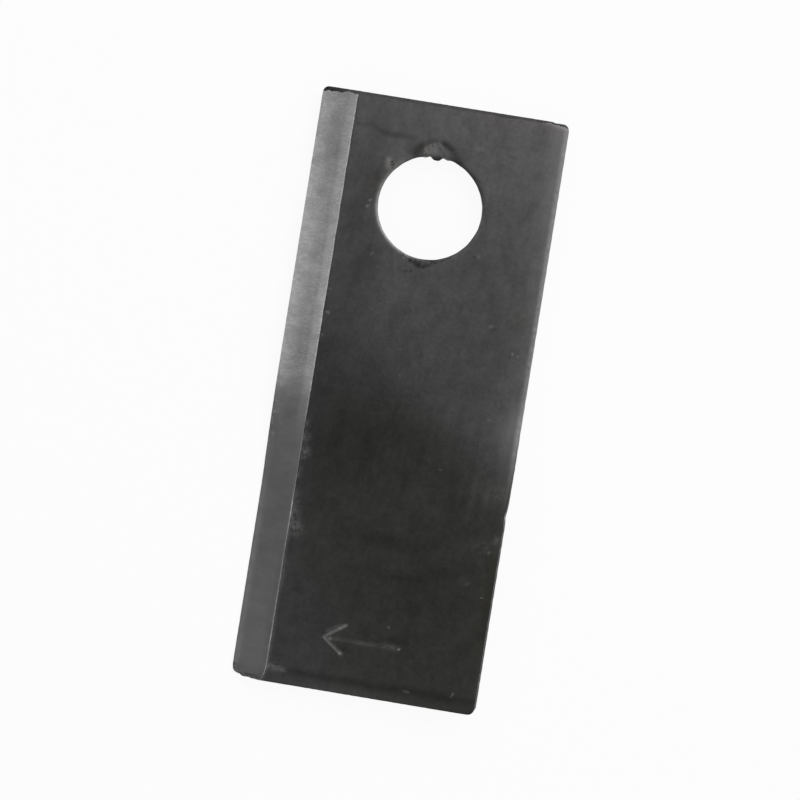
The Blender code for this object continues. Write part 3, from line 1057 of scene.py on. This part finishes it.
def hardened_steel():
    """Dark heat-treated and oiled face, rubbed bright in places, with painted highlights and painted shade,
    torn metal at the hole and dark marks.

    The wall of the back edge takes this finish too, and is duller and darker.
    """
    material, nodes = finish_named("hardened_steel")
    across, along = plan(nodes)
    speckle = nodes.noise(1.3, 4.0, 0.62)
    mottle = nodes.noise(0.3, 3.0, 0.55)
    color = hardened_shade(nodes, hardened_tint_and_shading(nodes, across, along), along, speckle, mottle)
    # Grime and painted shade.
    color = nodes.mix(nodes.number("grime_and_shade"), color, GRIME_AND_SHADE)
    # Bare metal and painted highlights.
    bare_and_highlight = bare_and_highlight_share(nodes, along, speckle)
    color = nodes.mix(bare_and_highlight, color, BARE_AND_HIGHLIGHT)
    torn = nodes.mix(nodes.between(across, -2.4, -1.2), TORN_LEFT, TORN_RIGHT)
    torn = scaled(nodes, torn, nodes.between(nodes.noise(1.7, 3.0, 0.65), 0.3, 0.7, 0.82, 1.18))
    color = nodes.mix(nodes.number("torn"), color, torn)
    color = nodes.mix(marks(nodes, DARK_MARKS), color, GRIME_AND_SHADE)
    wall = nodes.number("wall")
    color = scaled(nodes, color, nodes.math("SUBTRACT", 1.0, nodes.times(wall, 0.5)))
    roughness = nodes.between(mottle, 0.3, 0.7, 0.35, 0.41)
    roughness = nodes.plus(roughness, nodes.between(speckle, 0.3, 0.7, -0.02, 0.03))
    roughness = nodes.plus(roughness, nodes.times(bare_and_highlight, 0.1))
    roughness = nodes.plus(roughness, nodes.times(wall, 0.35))
    waves = nodes.times(nodes.noise(0.45, 2.0), 1.2)
    height = nodes.plus(nodes.times(speckle, 0.6), waves)
    close_finish(nodes, color, roughness, height, 0.01, 0.9)
    return material


def dull_share(nodes, across, flat_half):
    """How dull the bevel is ground: a wide and a thin strip run along it and wander a little."""
    wander = nodes.between(nodes.noise(0.1, 2.0, 0.5, (0.2, 1.0, 1.0)), 0.3, 0.7, -0.35, 0.35)
    wide_strip = nodes.math("ABSOLUTE", nodes.plus(nodes.plus(across, 21.0), wander))
    thin_strip = nodes.math("ABSOLUTE", nodes.plus(nodes.plus(across, 20.0), wander))
    dull = nodes.between(wide_strip, 2.3, 0.3, 0.0, 0.5)
    dull = nodes.plus(dull, nodes.between(thin_strip, 0.55, 0.1, 0.0, 0.25))
    return nodes.times(dull, nodes.plus(nodes.times(flat_half, 0.85), 0.15))


def rim_share(nodes, across, along):
    """How bright the bevel is along its crease, by wear and a painted highlight, with a broad painted glow in
    the wing; and along its nicked cutting edge.
    """
    inwards = nodes.times(nodes.number("crease"), -1.0)
    beads = nodes.between(nodes.noise(0.8, 3.0, 0.6), 0.38, 0.62)
    # The crease's wear and painted highlight.
    worn = nodes.times(beads, nodes.number("wear_and_highlight"))
    rim = nodes.times(nodes.between(inwards, 0.35, 0.02), worn)
    # A broad painted glow by the crease in the wing.
    painted_glow_in_wing = nodes.between(along, -19.0, -24.0, 0.0, 0.07)
    rim = nodes.plus(rim, nodes.times(nodes.between(inwards, 0.8, 0.0), painted_glow_in_wing))
    nicked = nodes.between(nodes.noise(0.9, 4.0, 0.65), 0.5, 0.7)
    edge = nodes.times(nodes.between(across, -23.3, -24.5), nodes.times(nicked, 0.35))
    return nodes.most(rim, edge)


def fleck_share(nodes, across, along):
    """Where dark flecks lie on the bevel: along its outer cut and at its corner."""
    by_edge = nodes.between(across, -23.4, -24.2)
    at_corner = nodes.times(by_edge, nodes.between(along, -56.8, -58.0))
    by_cut = nodes.most(nodes.between(along, -58.4, -59.3), at_corner)
    return nodes.times(nodes.between(nodes.noise(1.9, 3.0, 0.7), 0.48, 0.62), by_cut)


def ground_steel():
    """Bare ground bevel: fine scratches across the edge, dull strips along it, a worn crease with a painted
    highlight, a nicked bright cutting edge and dark flecks; its tone is partly painted light and shade.

    The scratches and strips are calmer in the wing.
    """
    material, nodes = finish_named("ground_steel")
    across, along = plan(nodes)
    scratches = nodes.noise(2.6, 4.0, 0.65, (0.14, 1.3, 1.0))
    passes = nodes.noise(0.55, 3.0, 0.55, (0.3, 1.0, 1.0))
    cloud = nodes.noise(0.28, 3.0, 0.6, (0.7, 1.0, 1.0))
    flat_half = nodes.between(along, -14.0, 2.0)
    dull = nodes.times(dull_share(nodes, across, flat_half), 0.8)
    color = nodes.mix(dull, GROUND_BRIGHT, GROUND_DULL)
    varied = nodes.between(passes, 0.25, 0.75, 0.9, 1.1)
    varied = nodes.times(varied, nodes.between(scratches, 0.25, 0.75, 1.07, 0.93))
    varied = nodes.times(varied, nodes.between(cloud, 0.3, 0.7, 0.92, 1.08))
    calmer = nodes.plus(nodes.times(varied, 0.6), 0.4)
    varied = nodes.mix_number(flat_half, calmer, varied)
    # The tone patches, partly painted light and shade.
    color = scaled(nodes, color, nodes.times(varied, nodes.number("tone_and_shading")))
    # The crease's wear and painted highlight, and the nicked cutting edge.
    color = nodes.mix(rim_share(nodes, across, along), color, GROUND_WORN_AND_HIGHLIGHT)
    flecks = nodes.times(fleck_share(nodes, across, along), 0.75)
    color = scaled(nodes, color, nodes.math("SUBTRACT", 1.0, flecks))
    keen = nodes.plus(nodes.times(flat_half, 0.75), 0.25)
    sway = nodes.times(keen, nodes.between(scratches, 0.25, 0.75, -0.04, 0.04))
    roughness = nodes.plus(sway, 0.3)
    height = nodes.times(scratches, flat_half)
    close_finish(nodes, color, roughness, height, 0.008, 1.0)
    return material


def sheared_steel():
    """Cut walls: a rough dark break with brighter specks."""
    material, nodes = finish_named("sheared_steel")
    drag = nodes.noise(1.6, 4.0, 0.7, (1.0, 1.0, 0.35))
    grain = nodes.noise(1.9, 4.0, 0.7)
    color = nodes.mix(nodes.between(drag, 0.35, 0.7), BREAK_DARK, BREAK_PALE)
    color = nodes.mix(nodes.between(grain, 0.55, 0.8, 0.0, 0.3), color, BREAK_SPECK)
    roughness = nodes.between(grain, 0.3, 0.7, 0.6, 0.75)
    close_finish(nodes, color, roughness, nodes.plus(grain, drag), 0.03, 0.4, 0.2)
    return material


# Stage


def white_floor():
    """Wide white floor. Rays from the camera, mirrors and glass see it nearly white, with the shadow kept."""
    mesh = bpy.data.meshes.new("floor")
    half = FLOOR_SIDE / 2
    corners = [(-half, -half, 0), (half, -half, 0), (half, half, 0), (-half, half, 0)]
    mesh.from_pydata(corners, [], [(0, 1, 2, 3)])
    material, nodes = finish_named("white_floor")
    path = nodes.add("ShaderNodeLightPath")
    seen = nodes.most(path.outputs["Is Camera Ray"], path.outputs["Is Glossy Ray"])
    seen = nodes.most(seen, path.outputs["Is Transmission Ray"])
    matt = nodes.add("ShaderNodeBsdfDiffuse", {"Color": (0.8, 0.8, 0.8, 1.0)})
    glow = nodes.add("ShaderNodeEmission", {"Color": (1.0, 1.0, 1.0, 1.0), "Strength": 1.0})
    share = nodes.times(seen, FLOOR_WHITE)
    mixed = nodes.add("ShaderNodeMixShader", {0: share, 1: matt.outputs[0], 2: glow.outputs[0]})
    out = nodes.add("ShaderNodeOutputMaterial")
    nodes.tree.links.new(mixed.outputs[0], out.inputs["Surface"])
    mesh.materials.append(material)
    floor = bpy.data.objects.new("floor", mesh)
    bpy.context.collection.objects.link(floor)
    return floor


def glow_towards(nodes, direction, towards, strength, spread_degrees):
    """A soft round glow in the world: strength times a bell curve of the angle from its middle."""
    middle = Vector(towards).normalized()
    facing = nodes.add("ShaderNodeVectorMath", {0: direction, 1: middle}, operation="DOT_PRODUCT")
    sharp = 2.0 / math.radians(spread_degrees) ** 2
    power = nodes.times(nodes.math("SUBTRACT", facing.outputs["Value"], 1.0), sharp)
    return nodes.times(nodes.math("EXPONENT", power), strength)


def studio_world():
    """Soft pale studio: a grey room with a few large soft glows, which the metal mirrors."""
    world = bpy.data.worlds.new("studio")
    world.use_nodes = True
    bpy.context.scene.world = world
    nodes = Nodes(world.node_tree)
    direction = nodes.add("ShaderNodeTexCoord").outputs["Generated"]
    light = STUDIO_ROOM
    for towards, strength, spread in STUDIO_GLOWS:
        light = nodes.plus(light, glow_towards(nodes, direction, towards, strength, spread))
    room = nodes.add("ShaderNodeBackground", {"Color": (1.0, 1.0, 1.0, 1.0), "Strength": light})
    out = nodes.add("ShaderNodeOutputWorld")
    nodes.tree.links.new(room.outputs[0], out.inputs["Surface"])


def soft_lamp(name, place, aim, size, power):
    """A square lamp at a place, facing the point that it is aimed at."""
    data = bpy.data.lights.new(name, "AREA")
    data.shape = "SQUARE"
    data.size = size
    data.energy = power
    lamp = bpy.data.objects.new(name, data)
    lamp.location = place
    lamp.rotation_mode = "QUATERNION"
    lamp.rotation_quaternion = (Vector(aim) - Vector(place)).to_track_quat("-Z", "Y")
    bpy.context.collection.objects.link(lamp)


def photo_camera(middle):
    """Looks square on to the flat half, from well above, with the blade leaning clockwise in the frame."""
    back = Vector((math.sin(TWIST / 2), 0.0, math.cos(TWIST / 2)))
    across = Vector((math.cos(TWIST / 2), 0.0, -math.sin(TWIST / 2)))
    along = Vector((0.0, 1.0, 0.0))
    right = across * math.cos(CAMERA_LEAN) + along * math.sin(CAMERA_LEAN)
    up = along * math.cos(CAMERA_LEAN) - across * math.sin(CAMERA_LEAN)
    camera = bpy.data.objects.new("camera", bpy.data.cameras.new("camera"))
    camera.data.sensor_width = 36.0
    camera.data.lens = camera.data.sensor_width * CAMERA_DISTANCE / FRAME_WIDTH
    camera.data.clip_start = 0.01
    place = middle + across * FRAME_ASIDE + back * CAMERA_DISTANCE
    turned = Matrix((right, up, back)).transposed().to_4x4()
    camera.matrix_world = Matrix.Translation(place) @ turned
    bpy.context.collection.objects.link(camera)
    bpy.context.scene.camera = camera


def main():
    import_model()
    low, high = (np.array(corner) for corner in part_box("mower_blade"))
    blade = make_blade(low, high, (hardened_steel(), ground_steel(), sheared_steel()))
    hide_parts("mower_blade")
    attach(blade, "root")

    white_floor()
    studio_world()
    soft_lamp("soft_key", LAMP_PLACE, (0.0, 0.0, 0.0), LAMP_SIZE, LAMP_POWER)
    photo_camera(Vector((0.0, 0.0, (low[2] + high[2]) / 2)))
    bpy.context.scene.view_settings.view_transform = "Standard"

    bpy.context.view_layer.update()


main()
